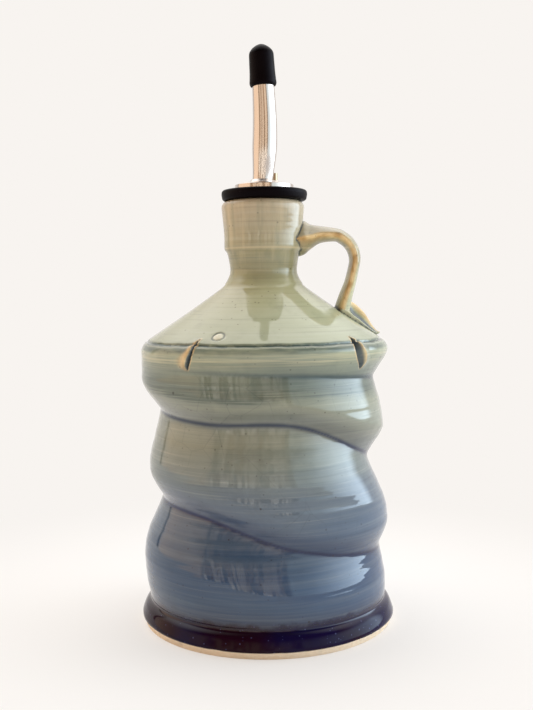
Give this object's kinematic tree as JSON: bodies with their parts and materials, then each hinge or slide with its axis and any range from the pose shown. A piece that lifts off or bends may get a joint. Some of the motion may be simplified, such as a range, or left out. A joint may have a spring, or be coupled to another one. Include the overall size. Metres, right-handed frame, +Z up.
{
  "type": "olive oil dispenser",
  "caption": "Hand-thrown stoneware oil bottle with a spiral-grooved body, pulled strap handle, and a steel pour spout in a rubber stopper under a rubber tip cap.",
  "frame": {"origin": "centre of the foot, on the table", "axes": "+Z up along the bottle's axis, +X towards the handle; the picture looks along +Y"},
  "size_m": [0.0908, 0.0907, 0.2035],
  "materials": {
    "bottle": "gloss glaze from cream and sage at the neck to slate blue, navy at the foot",
    "stopper": "smooth black rubber",
    "plate": "polished stainless steel",
    "spout": "polished stainless steel",
    "breather": "polished stainless steel",
    "cap": "smooth black rubber"
  },
  "bodies": {
    "bottle": {"bottle": "bottle"},
    "pourer": {"stopper": "stopper", "plate": "plate", "spout": "spout", "breather": "breather"},
    "tip_cap": {"cap": "cap"}
  },
  "joints": [
    {"name": "pourer_pull", "type": "slide", "parent": "bottle", "child": "pourer", "axis": [0, 0, 1], "range_m": [0, 0.055]},
    {"name": "cap_pull", "type": "slide", "parent": "pourer", "child": "tip_cap", "axis": [-0.0523, 0, 0.9986], "range_m": [0, 0.016]}
  ]
}
